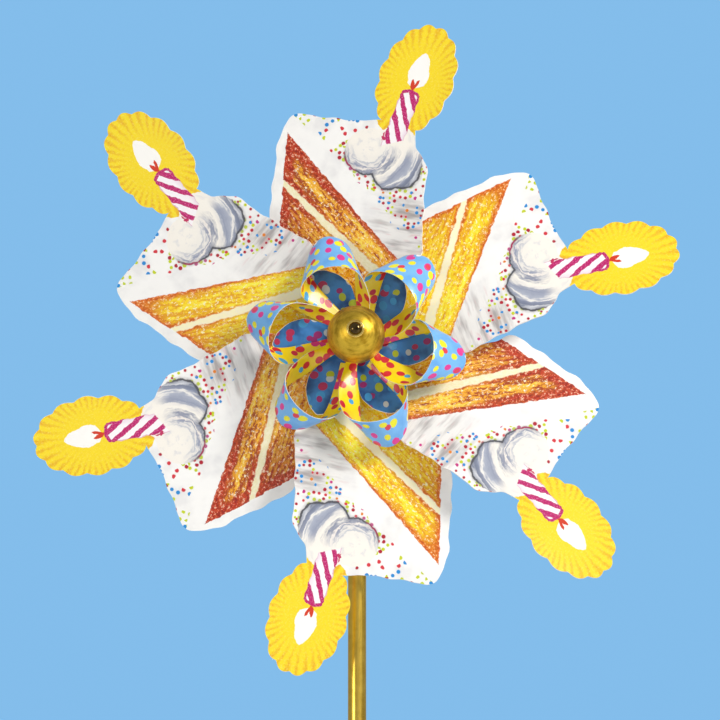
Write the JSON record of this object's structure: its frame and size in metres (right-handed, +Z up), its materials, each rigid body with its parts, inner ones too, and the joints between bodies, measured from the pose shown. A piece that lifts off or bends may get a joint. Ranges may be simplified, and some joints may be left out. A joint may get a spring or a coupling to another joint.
{
  "type": "pinwheel",
  "caption": "Hand pinwheel on a gold stick: printed cake-slice blades, a curled confetti card flower and a gold ball turn on a pin axle.",
  "frame": {"origin": "middle of the stick's flat foot face", "axes": "+Z up along the stick, the front of the wheel faces -Y, the pin axle runs along Y"},
  "size_m": [0.2256, 0.0499, 0.4082],
  "materials": {
    "gold_stick": "satin metallic gold paint",
    "gold_bead": "brushed satin gold",
    "bright_gold": "polished",
    "polished_brass": "polished",
    "white_card": "uncoated",
    "red_cake_print": "gloss-coated print of a slice with a red-brown crust, white frosting and a candle",
    "golden_cake_print": "gloss-coated print of a slice with a golden crumb, white frosting and a candle",
    "confetti_print": "gloss-coated confetti print, light blue on one side and yellow on the other"
  },
  "bodies": {
    "stick": {"stick": "gold_stick", "axle_pin": "polished_brass", "front_washer": "polished_brass", "rear_washer": "polished_brass", "rear_cap": "polished_brass"},
    "bead": {"spacer_bead": "gold_bead"},
    "rotor": {"rear_disc": "white_card", "cake_blade_1": "red_cake_print", "cake_blade_2": "golden_cake_print", "cake_blade_3": "red_cake_print", "cake_blade_4": "golden_cake_print", "cake_blade_5": "red_cake_print", "cake_blade_6": "golden_cake_print", "front_disc": "white_card", "hub_tube": "polished_brass", "flower_base": "confetti_print", "flower_spacer": "polished_brass", "petal_1": "confetti_print", "petal_2": "confetti_print", "petal_3": "confetti_print", "petal_4": "confetti_print", "petal_5": "confetti_print", "petal_6": "confetti_print", "tip_disc": "polished_brass"},
    "ball": {"gold_ball": "gold_bead", "ball_eyelet": "bright_gold"}
  },
  "joints": [
    {"name": "rotor_spin", "type": "hinge", "parent": "stick", "child": "rotor", "pos_m": [0, -0.0128, 0.293], "axis": [0, -1, 0], "continuous": true},
    {"name": "ball_spin", "type": "hinge", "parent": "stick", "child": "ball", "pos_m": [0, -0.0296, 0.293], "axis": [0, -1, 0], "continuous": true},
    {"name": "bead_spin", "type": "hinge", "parent": "stick", "child": "bead", "pos_m": [0, -0.0078, 0.293], "axis": [0, -1, 0], "continuous": true}
  ]
}
